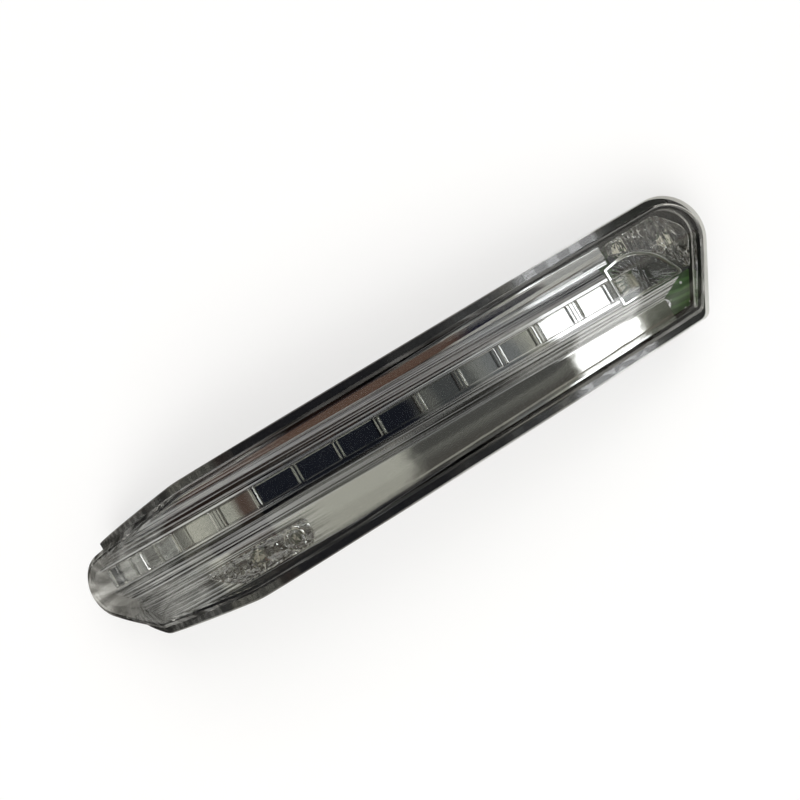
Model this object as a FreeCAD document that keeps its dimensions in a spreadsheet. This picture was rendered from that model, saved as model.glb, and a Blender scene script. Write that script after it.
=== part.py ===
"""Mirror turn signal lamp, in millimetres, lens up.

The lamp follows one flange line: a wide arc along the mirror and a tight arc round its nose, tangent
at the joint. Every curved part is one section revolved about the centres of both arcs and trimmed to
a plan outline. Local places have the joint at x = 0 and the flange line at z = 0; heights are measured
outwards from that line. The boards carry their parts in frames of their own.
"""

import FreeCAD
import Part

import math
import os

import Sketcher

V = FreeCAD.Vector
REACH = 400.0

SIZES = (
    # flange line
    ("joint_x", -43.33), ("main_radius", 360.0), ("nose_radius", 48.0), ("nose_angle", 76.0),
    ("main_angle", 26.0),
    # plan outline of the flange, as corners where its edges meet
    ("nose_tip_x", -77.5), ("nose_tip_y", 10.2), ("nose_tip_round", 12.0),
    ("nose_low_x", -41.5), ("nose_low_y", -17.4), ("nose_low_round", 5.0),
    ("low_bend_x", -12.5), ("low_bend_y", -20.7), ("low_bend_round", 30.0),
    ("end_low_x", 131.2), ("end_low_y", -15.9), ("end_low_round", 3.0),
    ("end_top_x", 152.1), ("end_top_y", 21.1), ("end_top_round", 12.0),
    ("top_bend_x", -18.5), ("top_bend_y", 17.7), ("top_bend_round", 40.0),
    ("section_span", 26.0), ("axis_half", 10.0),
    # lens
    ("lens_flange", 1.8), ("rim_width", 2.4), ("lens_wall", 2.2), ("dome_height", 11.5), ("crown_span", 20.0),
    ("crown_drop", 8.9), ("dome_bevel", 1.2), ("dome_corner", 3.0),
    # housing
    ("housing_inset", 0.3), ("housing_wall", 2.5), ("housing_depth", 12.0), ("housing_floor", 2.0),
    ("weld_rim_height", 2.8), ("weld_rim_step", 1.7), ("end_overlap", 1.0), ("ledge_width", 1.0),
    ("foot_height", 3.7),
    ("boss_x", 121.5), ("boss_y", 10.0), ("boss_diameter", 8.0), ("boss_bore", 3.3), ("boss_bore_depth", 8.5),
    ("tab_x", -39.5), ("tab_y", 1.0), ("tab_length", 6.0), ("tab_width", 14.0), ("tab_root", 9.0),
    ("back_rib_pitch", 17.0), ("back_rib_x", 12.0), ("back_rib_thickness", 1.2), ("back_rib_height", 2.0),
    ("back_rib_width", 22.0),
    ("vent_x", 54.5), ("vent_pad", 11.0), ("vent_pad_height", 0.8), ("vent_bore", 2.0),
    ("membrane_diameter", 8.6), ("membrane_thickness", 0.3),
    # connector socket
    ("socket_x", 100.0), ("socket_length", 17.0), ("socket_width", 11.0), ("socket_wall", 1.6),
    ("socket_roof", 1.6), ("socket_ground", 3.0), ("socket_round", 1.5), ("latch_width", 4.0),
    ("latch_height", 1.2), ("latch_length", 2.4),
    ("pin_pitch", 2.54), ("pin_width", 0.8), ("pin_thickness", 0.64), ("pin_reach", 6.0), ("pin_taper", 0.15),
    # reflector
    ("reflector_gap", 0.2), ("reflector_wall", 1.5), ("reflector_edge", 1.6), ("reflector_nose_angle", 70.0),
    ("upper_band_out", 15.2), ("upper_band_in", 11.9), ("upper_band_height", 1.5),
    ("slot_out", 11.3), ("slot_in", 10.4), ("slot_depth", 0.6),
    ("rib_height", 5.8), ("rib_frame", 0.7), ("channel_floor", 1.5), ("channel_gap", 0.25),
    ("flank_foot", 5.3), ("flank_foot_height", 0.9), ("lower_band_out", 15.0), ("underside_slip", 0.3),
    ("upper_end_x", 113.0), ("channel_end_x", 110.0), ("flank_end_x", 128.5), ("lower_end_x", 122.2),
    ("flank_top", -2.0),
    # light guide
    ("guide_y", 3.4), ("guide_width", 5.5), ("guide_front", 6.5), ("guide_bulge", 0.25),
    ("guide_nose_angle", 60.0), ("guide_end", 117.0), ("window_pitch", 12.5), ("window_count", 9),
    ("nose_window_count", 4), ("groove_width", 1.5), ("groove_foot", 0.7), ("groove_depth", 1.0),
    ("leg_length", 4.4), ("leg_width", 4.8), ("light_gap", 0.2),
    ("lobe_floor", 2.6), ("lobe_front", 5.4), ("lobe_rim", 1.0), ("lobe_recess", 1.2),
    # boards
    ("board_x", 113.0), ("board_drop", 7.5), ("board_thickness", 1.6), ("board_left", 20.0),
    ("board_right", 21.0), ("board_low_right", 16.0), ("board_slant_y", -2.2), ("board_low", 10.8),
    ("board_high", 14.5), ("board_round", 1.0), ("nose_board_left", -14.0), ("nose_board_right", 10.0),
    ("nose_board_low", -15.5), ("nose_board_high", -4.2),
    ("post_diameter", 5.0), ("post_root", 1.0), ("screw_diameter", 1.9), ("screw_length", 4.2),
    ("screw_head", 3.8), ("screw_head_height", 1.3), ("screw_clearance", 0.4), ("screw_recess", 0.7),
    ("recess_length", 1.8),
    ("flex_width", 4.4), ("flex_y", -7.3), ("flex_thickness", 0.3), ("flex_end", 104.0),
    # couplers and the shield under the wide one
    ("coupler_gap", 0.3), ("coupler_floor", 1.1), ("coupler_front", 2.9), ("stem_diameter", 4.6),
    ("pod_diameter", 6.0), ("pod_height", 4.4), ("pod_dimple_depth", 1.6), ("fan_lift", 4.2),
    ("fan_height", 3.2), ("fan_leg", 4.6), ("fan_ridge_x", 3.0), ("fan_ridge_pitch", 2.2),
    ("fan_ridge", 0.5), ("fan_ridges", 8), ("shield_wall", 0.8), ("shield_height", 1.2),
    ("shield_foot", 1.6),
    # electronics
    ("led_length", 3.2), ("led_width", 2.8), ("led_height", 0.9), ("led_dish", 2.2), ("led_dish_depth", 0.2),
    ("chip_length", 5.0), ("chip_width", 4.0), ("chip_height", 1.5), ("lead_reach", 1.0), ("lead_width", 0.4),
    ("lead_thickness", 0.2), ("lead_pitch", 1.27), ("lead_count", 4),
    ("resistor_length", 2.0), ("resistor_width", 1.25), ("resistor_height", 0.5), ("case_bevel", 0.15),
    ("chip_stand", 0.1),
    ("capacitor_length", 3.2), ("capacitor_width", 1.6), ("capacitor_height", 1.3),
    ("diode_length", 4.2), ("diode_width", 2.6), ("diode_height", 1.9),
)

# corners of the clear parts' plans, as x, y and round
PLANS = {
    "coupler": ((-24.0, -7.6, 1.0), (-17.5, -13.2, 2.0), (-13.5, -14.8, 1.5), (8.6, -14.4, 2.4),
                (8.6, -7.4, 2.0), (-8.0, -7.0, 4.0)),
    "lobe": ((110.4, -1.6, 0.4), (130.4, -1.6, 1.2), (125.2, 7.4, 9.0), (116.0, 10.6, 8.0),
             (110.4, 9.0, 0.4)),
    "fan": ((-0.6, 12.0, 0.8), (7.4, 9.8, 6.0), (11.6, 7.2, 8.0), (16.9, 1.4, 6.0), (18.6, -1.8, 0.8),
            (24.4, 8.0, 5.0), (17.2, 15.6, 5.0), (-0.6, 15.0, 0.8)),
    "shield": ((0.2, -1.8, 0.8), (20.6, -1.8, 0.8), (20.6, 14.2, 0.8), (0.2, 14.2, 0.8)),
}

# middles of the parts and posts on a board, in its frame
PLACES = {
    "high_screw": (-14.0, 7.8), "low_screw": (9.0, -7.2), "board_stop": (17.0, 7.0),
    "nose_screw": (-10.5, -7.2), "nose_stop": (5.5, -13.2),
    "led_1": (3.4, -10.9), "led_2": (-7.5, -10.8), "led_4": (4.0, 12.4), "led_5": (17.5, 8.4),
    "driver_chip": (-8.9, 4.6), "resistor_1": (-13.6, -8.2), "resistor_2": (-9.8, -8.2),
    "resistor_3": (-6.0, -8.2), "resistor_4": (-3.0, -13.8), "capacitor_1": (-13.4, -0.8),
    "capacitor_2": (5.4, -6.4), "diode": (-6.4, -2.8),
    "shield_foot_1": (2.0, 0.2), "shield_foot_2": (10.8, 12.6), "shield_foot_3": (18.6, 0.4),
}

DERIVED = (
    ("crown_radius", "(crown_span ^ 2 + crown_drop ^ 2) / (2 * crown_drop)"),
    ("crown_edge", "dome_height - crown_drop"),
    ("inner_span", "crown_span - lens_wall"),
    ("inner_crest", "dome_height - lens_wall"),
    ("inner_radius", "crown_radius - lens_wall"),
    ("inner_edge", "inner_crest - inner_radius + sqrt(inner_radius ^ 2 - inner_span ^ 2)"),
    ("cavity_inset", "rim_width + lens_wall"),
    ("cavity_nose_angle", "nose_angle - lens_wall / nose_radius * 180 / pi"),
    ("tub_inset", "housing_inset + housing_wall"),
    ("well_inset", "tub_inset + ledge_width"),
    ("tub_depth", "housing_depth - housing_floor"),
    ("tub_nose_angle", "nose_angle - housing_wall / (nose_radius - housing_depth) * 180 / pi"),
    ("reflector_inset", "tub_inset + reflector_gap"),
    ("back_radius", "main_radius - housing_depth"),
    ("nose_ground", "nose_radius - (nose_radius - housing_depth) * cos(nose_angle)"),
    ("end_ground", "main_radius - sqrt(back_radius ^ 2 - (end_top_x - 9) ^ 2)"),
    ("rest_depth", "max(nose_ground; end_ground) + foot_height - max(0; end_ground - nose_ground)"),
    ("boss_root", "main_radius - sqrt(back_radius ^ 2 - (boss_x - boss_diameter / 2) ^ 2)"),
    ("boss_height", "rest_depth - boss_root + housing_floor"),
    ("socket_skin", "main_radius - sqrt((main_radius - tub_depth) ^ 2 - (socket_x + socket_length / 2) ^ 2)"),
    ("socket_ceiling", "socket_skin + socket_roof"),
    ("socket_mouth", "rest_depth - socket_ground"),
    ("socket_back", "main_radius - sqrt(back_radius ^ 2 - (socket_x - socket_length / 2) ^ 2)"),
    ("socket_top", "socket_back - housing_floor / 2"),
    ("board_radius", "main_radius - board_drop"),
    ("board_angle", "asin(board_x / board_radius)"),
    ("board_sine", "sin(board_angle)"),
    ("board_cosine", "cos(board_angle)"),
    ("pin_left", "socket_x - pin_thickness / 2"),
    ("pin_right", "socket_x + pin_thickness / 2"),
    ("board_slope", "board_sine / board_cosine"),
    ("pin_left_top", "board_radius * board_cosine - main_radius - (pin_left - board_x) * board_slope"),
    ("pin_right_top", "board_radius * board_cosine - main_radius - (pin_right - board_x) * board_slope"),
    ("window_step", "window_pitch / (main_radius + guide_front) * 180 / pi"),
    ("nose_window_step", "window_pitch / (nose_radius + guide_front) * 180 / pi"),
    ("guide_end_angle", "asin(guide_end / (main_radius + guide_front))"),
    ("guide_low", "guide_y - guide_width / 2"),
    ("guide_high", "guide_y + guide_width / 2"),
    ("channel_low", "guide_low - channel_gap"),
    ("channel_high", "guide_high + channel_gap"),
    ("guide_foot", "guide_end * (main_radius + channel_floor) / (main_radius + guide_front)"),
    ("leg_run", "guide_foot - board_x - (board_drop + channel_floor) * board_sine"),
    ("leg_shift", "leg_run / board_cosine - leg_length / 2"),
    ("light_lift", "board_thickness + led_height + light_gap"),
    ("leg_height", "board_drop + channel_floor + 1 - light_lift"),
    ("floor_lift", "board_drop - tub_depth"),
    ("vent_angle", "asin(vent_x / back_radius)"),
)

doc = FreeCAD.newDocument("TurnSignalLamp")
sheet = doc.addObject("Spreadsheet::Sheet", "Sizes")
probe = doc.addObject("Spreadsheet::Sheet", "Probe")


def corner_names(plan):
    """The aliases of a plan's corners, as (x, y, round) of each."""
    return tuple(tuple(f"{plan}_{i}_{part}" for part in ("x", "y", "round"))
                 for i in range(1, len(PLANS[plan]) + 1))


def plain_sizes():
    rows = list(SIZES)
    for plan, corners in PLANS.items():
        for names, values in zip(corner_names(plan), corners):
            rows += zip(names, values)
    for place, (x, y) in PLACES.items():
        rows += [(place + "_x", x), (place + "_y", y)]
    return rows


NAMED = {alias for alias, _ in [*plain_sizes(), *DERIVED]}


def fill_sheet():
    rows = [(alias, str(value)) for alias, value in plain_sizes()]
    rows += [(alias, "=" + content) for alias, content in DERIVED]
    for row, (alias, content) in enumerate(rows, start=1):
        sheet.set(f"A{row}", alias)
        sheet.set(f"B{row}", content)
        sheet.setAlias(f"B{row}", alias)
    doc.recompute()


def rule(text):
    """The expression with each alias read from the sheet."""
    out, word = [], ""
    for letter in str(text) + " ":
        if letter.isalnum() or letter == "_":
            word += letter
            continue
        out.append("Sizes." + word if word in NAMED else word)
        out.append(letter)
        word = ""
    return "".join(out).strip()


def number(text):
    """What an expression comes to now, for a first place of a sketch's geometry."""
    probe.set("A1", "=" + rule(text))
    probe.recompute()
    value = probe.get("A1")
    return float(getattr(value, "Value", value))


def bind(item, **rules):
    """Ties properties to expressions; a double underscore stands for a dot."""
    for name, text in rules.items():
        item.setExpression(name.replace("__", "."), rule(text))
    return item


def new_body(label):
    return doc.addObject("PartDesign::Body", label)


def new_sketch(body, plane, label, lift=None):
    sketch = body.newObject("Sketcher::SketchObject", label)
    support = next(f for f in body.Origin.OriginFeatures if f.Role == plane)
    sketch.AttachmentSupport = (support, "")
    sketch.MapMode = "FlatFace"
    if lift is not None:
        bind(sketch, AttachmentOffset__Base__z=lift)
    return sketch


def hold(sketch, kind, places, text):
    """A driving dimension that follows an expression."""
    index = sketch.addConstraint(Sketcher.Constraint(kind, *places, number(text)))
    sketch.setExpression(f"Constraints[{index}]", rule(text))


def pin(sketch, item, end, x, y):
    hold(sketch, "DistanceX", (-1, 1, item, end), x)
    hold(sketch, "DistanceY", (-1, 1, item, end), y)


def ends(sketch, item, start):
    """The numbers of an item's ends, the one at start first."""
    return (1, 2) if sketch.getPoint(item, 1).distanceToPoint(start) < 1e-6 else (2, 1)


def wire(sketch, corners, bows=()):
    """Closed line through corners; bows maps a side to the point that its arc passes."""
    bows = dict(bows)
    spots = [V(number(x), number(y), 0) for x, y in corners]
    sides = []
    for i, spot in enumerate(spots):
        after = spots[(i + 1) % len(spots)]
        if i in bows:
            x, y = bows[i]
            middle = V(number(x), number(y), 0)
            side = sketch.addGeometry(Part.ArcOfCircle(spot, middle, after), False)
            mark = sketch.addGeometry(Part.Point(middle), True)
            pin(sketch, mark, 1, x, y)
            sketch.addConstraint(Sketcher.Constraint("PointOnObject", mark, 1, side))
        else:
            side = sketch.addGeometry(Part.LineSegment(spot, after), False)
        sides.append((side, *ends(sketch, side, spot)))
    for i, (side, _, last) in enumerate(sides):
        following, first, _ = sides[(i + 1) % len(sides)]
        sketch.addConstraint(Sketcher.Constraint("Coincident", side, last, following, first))
    for (side, first, _), (x, y) in zip(sides, corners):
        pin(sketch, side, first, x, y)


def meeting(a, b, c, d):
    """Where the line a-b meets the line c-d."""
    r, s = b - a, d - c
    t = ((c.x - a.x) * s.y - (c.y - a.y) * s.x) / (r.x * s.y - r.y * s.x)
    return a + r * t


def rounded(sketch, corners, inset=None, least="0.3"):
    """Closed outline through rounded corners (x, y, radius), counter-clockwise, moved inwards by inset."""
    count = len(corners)
    spots = [V(number(x), number(y), 0) for x, y, _ in corners]
    depth = number(inset) if inset else 0.0
    guides, lines = [], []
    for i in range(count):
        a, b = spots[i], spots[(i + 1) % count]
        along = (b - a).normalize()
        lines.append((a + V(-along.y, along.x, 0) * depth, b + V(-along.y, along.x, 0) * depth))
        guides.append(sketch.addGeometry(Part.LineSegment(a, b), True))
    for i, (x, y, _) in enumerate(corners):
        sketch.addConstraint(Sketcher.Constraint("Coincident", guides[i], 2, guides[(i + 1) % count], 1))
        pin(sketch, guides[i], 1, x, y)
    arcs, starts, stops = [], [None] * count, [None] * count
    for i, (_, _, radius) in enumerate(corners):
        before, after = lines[i - 1], lines[i]
        corner = meeting(*before, *after)
        into, out = (before[1] - before[0]).normalize(), (after[1] - after[0]).normalize()
        left = into.cross(out).z > 0
        size = f"max({radius} - ({inset or 0}); {least})" if left else f"{radius} + ({inset or 0})"
        reach = number(size) * math.tan(into.getAngle(out) / 2)
        first, last = corner - into * reach, corner + out * reach
        centre = first + V(-into.y, into.x, 0) * (number(size) if left else -number(size))
        middle = centre + (corner - centre).normalize() * number(size)
        arcs.append((sketch.addGeometry(Part.ArcOfCircle(first, middle, last), False), size, first))
        stops[i - 1], starts[i] = first, last
    for i in range(count):
        side = sketch.addGeometry(Part.LineSegment(starts[i], stops[i]), False)
        if inset:
            sketch.addConstraint(Sketcher.Constraint("Parallel", side, guides[i]))
            hold(sketch, "Distance", (guides[i], 1, side), inset)
        else:
            sketch.addConstraint(Sketcher.Constraint("PointOnObject", guides[i], 1, side))
            sketch.addConstraint(Sketcher.Constraint("PointOnObject", guides[i], 2, side))
        arc, size, first = arcs[i]
        _, far = ends(sketch, arc, first)
        sketch.addConstraint(Sketcher.Constraint("Tangent", arc, far, side, 1))
        arc, size, first = arcs[(i + 1) % count]
        near, _ = ends(sketch, arc, first)
        sketch.addConstraint(Sketcher.Constraint("Tangent", side, 2, arc, near))
        hold(sketch, "Radius", (arc,), size)


FLANGE = (
    ("nose_tip_x", "nose_tip_y", "nose_tip_round"),
    ("nose_low_x", "nose_low_y", "nose_low_round"),
    ("low_bend_x", "low_bend_y", "low_bend_round"),
    ("end_low_x", "end_low_y", "end_low_round"),
    ("end_top_x", "end_top_y", "end_top_round"),
    ("top_bend_x", "top_bend_y", "top_bend_round"),
)
WELD_RIM = tuple((f"{x} - end_overlap" if x.startswith("end") else x, y, size) for x, y, size in FLANGE)


def frame_square(sketch):
    """A square far outside the part, so that a pocket keeps only what the inner outline holds."""
    wire(sketch, ((f"-{REACH}", f"-{REACH}"), (f"{REACH}", f"-{REACH}"),
                  (f"{REACH}", f"{REACH}"), (f"-{REACH}", f"{REACH}")))


def through(body, sketch, label):
    pocket = body.newObject("PartDesign::Pocket", label)
    pocket.Profile = sketch
    pocket.SideType = "Symmetric"
    pocket.Length = 2 * REACH
    sketch.Visibility = False
    return pocket


def revolve(body, sketch, label, axis, angle, reverse):
    turn = body.newObject("PartDesign::Revolution", label)
    turn.Profile = sketch
    turn.ReferenceAxis = (sketch, [axis])
    turn.Reversed = reverse
    bind(turn, Angle=angle)
    return turn


def swept(label, section, bows=(), plan=FLANGE, inset=None, main="main_angle", nose="nose_angle",
          least="0.3"):
    """A section carried along both arcs of the flange line, kept inside a plan outline."""
    body = new_body(label)
    sketch = new_sketch(body, "YZ_Plane", label + "_section")
    wire(sketch, section, bows)
    for radius in ("main_radius", "nose_radius"):
        level = -number(radius)
        half = number("axis_half")
        axis = sketch.addGeometry(Part.LineSegment(V(-half, level, 0), V(half, level, 0)), True)
        pin(sketch, axis, 1, "-axis_half", f"-{radius}")
        pin(sketch, axis, 2, "axis_half", f"-{radius}")
    doc.recompute()
    if main:
        revolve(body, sketch, label + "_main", "Axis0", main, False)
    if nose:
        revolve(body, sketch, label + "_nose", "Axis1", nose, True)
    doc.recompute()
    if plan:
        cut = new_sketch(body, "XY_Plane", label + "_plan")
        frame_square(cut)
        rounded(cut, plan, inset, least)
        doc.recompute()
        through(body, cut, label + "_trim")
        doc.recompute()
    return body


def ring(label, low, high, inset):
    """What lies outside an inset outline between two heights, to keep a piece clear of the wall there."""
    body = swept(label, slab(low, high), plan=None)
    hole = new_sketch(body, "XY_Plane", label + "_hole")
    rounded(hole, FLANGE, inset)
    doc.recompute()
    through(body, hole, label + "_opened")
    doc.recompute()
    return body


def height_of(point):
    """Height of a place above the flange line."""
    radius = number("main_radius") if point.x >= 0 else number("nose_radius")
    return math.hypot(point.x, point.z + radius) - radius


def bevel(body, label, size, chosen):
    """Bevels the edges of a body's tip that the rule picks."""
    base = body.Tip
    names = []
    for index, edge in enumerate(base.Shape.Edges, start=1):
        first, last = edge.ParameterRange
        if chosen([edge.valueAt(first + (last - first) * t) for t in (0.0, 0.25, 0.5, 0.75, 1.0)]):
            names.append(f"Edge{index}")
    flat = body.newObject("PartDesign::Chamfer", label)
    flat.Base = (base, names)
    bind(flat, Size=size)
    doc.recompute()
    return flat


def above(spots):
    """True for an edge that borders a crown: over the flange, and neither upright nor across the joint."""
    run = spots[-1] - spots[0]
    return (all(height_of(spot) > number("lens_flange") for spot in spots)
            and any(abs(spot.x) > 1e-6 for spot in spots) and math.hypot(run.x, run.y) > 0.05)


def join(label, pieces):
    whole = doc.addObject("Part::MultiFuse", label)
    whole.Shapes = pieces
    whole.Refine = True
    return whole


def cut_from(label, base, tool):
    rest = doc.addObject("Part::Cut", label)
    rest.Base = base
    rest.Tool = tool
    rest.Refine = True
    return rest


def round_bar(label, diameter, height):
    bar = doc.addObject("Part::Cylinder", label)
    return bind(bar, Radius=f"({diameter}) / 2", Height=height)


def block(label, length, width, height):
    box = doc.addObject("Part::Box", label)
    return bind(box, Length=length, Width=width, Height=height)


def put(item, x="0", y="0", z="0"):
    return bind(item, Placement__Base__x=x, Placement__Base__y=y, Placement__Base__z=z)


def station(item, angle, radius, x="0", y="0", centre="0"):
    """Lays an item on the main arc at an angle, with x along the tangent; centre 1 adds the joint's place."""
    item.Placement = FreeCAD.Placement(V(), FreeCAD.Rotation(V(0, 1, 0), 10))
    put(item, f"({radius}) * sin({angle}) + ({x}) * cos({angle}) + ({centre}) * joint_x", y,
        f"({radius}) * cos({angle}) - main_radius - ({x}) * sin({angle}) + ({centre}) * rest_depth")
    return bind(item, Placement__Rotation__Angle=angle)


def on_board(item, x, y, lift, placed=True):
    """Lays an item on the main board's frame; lift is measured from the board's underside."""
    return station(item, "board_angle", f"board_radius + ({lift})", x, y, "1" if placed else "0")


def on_nose_board(item, x, y, lift, placed=True):
    moved = ("joint_x + ", "rest_depth + ") if placed else ("", "")
    return put(item, f"{moved[0]}({x})", y, f"{moved[1]}({lift}) - board_drop")


def place(item):
    return put(item, "joint_x", "0", "rest_depth")


NODES = []


def node(item, label=None):
    if label:
        item.Label = label
    NODES.append(item)
    return item


def spot(name):
    """The sheet's names for the middle of a part on its board."""
    return name + "_x", name + "_y"


BOARD_POSTS = (("high_screw", True), ("low_screw", True), ("board_stop", False))
NOSE_POSTS = (("nose_screw", True), ("nose_stop", False))
STEMS = ("led_1", "led_2")
FAN_LEDS = ("led_4", "led_5")
SHIELD_FEET = ("shield_foot_1", "shield_foot_2", "shield_foot_3")


def slab(low, high):
    """Section of a layer between two heights, wider than any outline."""
    return (("-section_span", low), ("section_span", low), ("section_span", high), ("-section_span", high))


def outer_lens():
    flange = swept("lens_flange_slab", slab("0", "lens_flange"))
    dome = swept(
        "lens_dome",
        (("-crown_span", "0"), ("crown_span", "0"), ("crown_span", "crown_edge"),
         ("-crown_span", "crown_edge")),
        {2: ("0", "dome_height")}, inset="rim_width", least="dome_corner")
    bevel(dome, "lens_dome_bevel", "dome_bevel", above)
    hollow = swept(
        "lens_hollow",
        (("-inner_span", "-1"), ("inner_span", "-1"), ("inner_span", "inner_edge"),
         ("-inner_span", "inner_edge")),
        {2: ("0", "inner_crest")}, inset="cavity_inset", nose="cavity_nose_angle")
    shell = cut_from("outer_lens", join("lens_outside", [flange, dome]), hollow)
    node(place(shell))


def box_corners(half, side, size):
    """The socket's plan, as half its length and half its width."""
    return tuple((f"socket_x {across} {half}", f"{along}{side}", size)
                 for across, along in (("-", "-"), ("+", "-"), ("+", ""), ("-", "")))


def rear_housing():
    rim = swept("weld_rim", slab("-weld_rim_height", "0"), plan=WELD_RIM, inset="housing_inset")
    tub = swept("tub_outside", slab("-housing_depth", "-weld_rim_height / 2"),
                inset="housing_inset + weld_rim_step")
    added = [rim, tub]
    for side, sign in (("high", ""), ("low", "-")):
        boss = round_bar(f"boss_{side}", "boss_diameter", "boss_height")
        added.append(put(boss, "boss_x", f"{sign}boss_y", "-rest_depth"))
    tab = block("nose_tab", "tab_length", "tab_width", "tab_root")
    added.append(put(tab, "tab_x - tab_length / 2", "tab_y - tab_width / 2", "-rest_depth"))
    for i in range(4):
        rib = block(f"back_rib_{i + 1}", "back_rib_thickness", "back_rib_width",
                    "back_rib_height + housing_floor / 2")
        angle = f"asin((back_rib_x + {i} * back_rib_pitch) / back_radius)"
        added.append(station(rib, angle, "back_radius - back_rib_height", "0", "-back_rib_width / 2"))
    pad = round_bar("vent_pad_disc", "vent_pad", "vent_pad_height + housing_floor / 2")
    added.append(station(pad, "vent_angle", "back_radius - vent_pad_height"))

    shroud = new_body("socket_shroud")
    plan = new_sketch(shroud, "XY_Plane", "socket_plan", "-socket_mouth")
    half, side = "socket_length / 2", "socket_width / 2"
    rounded(plan, box_corners(half, side, "socket_round"))
    pad_up = shroud.newObject("PartDesign::Pad", "socket_walls")
    pad_up.Profile = plan
    bind(pad_up, Length="socket_mouth - socket_top")
    doc.recompute()
    added.append(shroud)
    latch = block("socket_latch", "latch_width", "latch_height + socket_wall / 2", "latch_length")
    added.append(put(latch, "socket_x - latch_width / 2", f"{side} - socket_wall / 2", "-socket_mouth + 2"))

    mouth = swept("mouth_hollow", slab("-reflector_edge", "1"), inset="tub_inset", nose="tub_nose_angle")
    well = swept("well_hollow", slab("-tub_depth", "-reflector_edge + 0.1"), inset="well_inset",
                 nose="tub_nose_angle - 1")
    taken = [mouth, well]
    cavity = new_body("socket_cavity")
    plan = new_sketch(cavity, "XY_Plane", "cavity_plan", "-socket_mouth - 1")
    half, side = "(socket_length / 2 - socket_wall)", "(socket_width / 2 - socket_wall)"
    inner = "max(socket_round - socket_wall; 0.4)"
    rounded(plan, box_corners(half, side, inner))
    pad_up = cavity.newObject("PartDesign::Pad", "cavity_depth")
    pad_up.Profile = plan
    bind(pad_up, Length="socket_mouth + 1 - socket_ceiling")
    doc.recompute()
    taken.append(cavity)
    for side, sign in (("high", ""), ("low", "-")):
        bore = round_bar(f"boss_bore_{side}", "boss_bore", "boss_bore_depth + 1")
        taken.append(put(bore, "boss_x", f"{sign}boss_y", "-rest_depth - 1"))
    for i in range(3):
        slot = block(f"pin_slot_{i + 1}", "pin_thickness", "pin_width", "socket_ceiling")
        taken.append(put(slot, "pin_left", f"{i - 1} * pin_pitch - pin_width / 2", "-socket_ceiling - 1"))
    vent = round_bar("vent_bore_hole", "vent_bore", "housing_floor * 3")
    taken.append(station(vent, "vent_angle", "back_radius - housing_floor"))
    shell = cut_from("housing_shell", join("housing_added", added), join("housing_taken", taken))

    posts, pilots = [], []
    for lay, names, root in (
        (on_board, BOARD_POSTS, "post_root"), (on_nose_board, NOSE_POSTS, "2 * post_root"),
    ):
        for name, held in names:
            post = round_bar(name + "_post", "post_diameter", f"{root} - floor_lift")
            posts.append(lay(post, *spot(name), f"floor_lift - {root}", placed=False))
            if held:
                pilot = round_bar(name + "_pilot", "screw_diameter", "screw_length")
                pilots.append(lay(pilot, *spot(name), "board_thickness - screw_length", placed=False))
    whole = join("housing_posts", [shell] + posts)
    node(place(cut_from("rear_housing", whole, join("housing_pilots", pilots))))


def chrome_reflector():
    span, wall, slip = "section_span", "reflector_wall", "underside_slip"
    section = (
        (span, "0"), ("upper_band_out", "0"), ("upper_band_in", "upper_band_height"),
        ("slot_out", "-slot_depth"), ("slot_in", "-slot_depth"), ("channel_high + rib_frame", "rib_height"),
        ("channel_high", "rib_height"), ("channel_high", "channel_floor"), ("channel_low", "channel_floor"),
        ("channel_low", "rib_height"), ("channel_low - rib_frame", "rib_height"),
        ("-flank_foot", "flank_foot_height"), ("-lower_band_out", "0"), (f"-{span}", "0"),
        (f"-{span}", "-reflector_edge"), (f"-lower_band_out + {slip}", "-reflector_edge"),
        (f"-flank_foot + {slip}", f"flank_foot_height - {wall}"),
        (f"channel_low - 1.6 * {wall}", f"channel_floor - {wall}"),
        (f"channel_high + 1.5 * {wall}", f"channel_floor - {wall}"),
        (f"slot_in - {slip}", f"-slot_depth - {wall}"), (f"slot_out + {slip}", f"-slot_depth - {wall}"),
        (f"upper_band_in + 2 * {slip}", f"upper_band_height - {wall} - {slip}"),
        (f"upper_band_out - 2 * {slip}", "-reflector_edge"), (span, "-reflector_edge"),
    )
    body = swept("reflector_shell", section, inset="reflector_inset", nose="reflector_nose_angle")
    end = new_sketch(body, "XY_Plane", "reflector_end")
    wire(end, (("upper_end_x", f"{REACH}"), ("upper_end_x", "slot_in"), ("channel_end_x", "slot_in"),
               ("channel_end_x", "flank_top"), ("flank_end_x", "flank_top"), ("lower_end_x", "-flank_foot"),
               ("lower_end_x", f"-{REACH}"), (f"{REACH}", f"-{REACH}"), (f"{REACH}", f"{REACH}")))
    doc.recompute()
    through(body, end, "reflector_end_cut")
    doc.recompute()
    taken = []
    for name in STEMS:
        hole = round_bar(name + "_opening", "stem_diameter + 2 * coupler_gap", "2 * board_drop")
        taken.append(on_nose_board(hole, *spot(name), "0", placed=False))
    opening = block("leg_opening", "leg_length + 2 * coupler_gap", "leg_width + 2 * coupler_gap",
                    "2 * board_drop")
    taken.append(on_board(opening, "leg_shift - leg_length / 2 - coupler_gap",
                          "guide_y - leg_width / 2 - coupler_gap", "0", placed=False))
    for label, low, high, inset in (
        ("reflector_top_ring", "0", "dome_height", "cavity_inset + reflector_gap"),
        ("reflector_low_ring", "-housing_depth", "-reflector_edge", "well_inset + reflector_gap"),
    ):
        taken.append(ring(label, low, high, inset))
    node(place(cut_from("chrome_reflector", body, join("reflector_taken", taken))))


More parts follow.
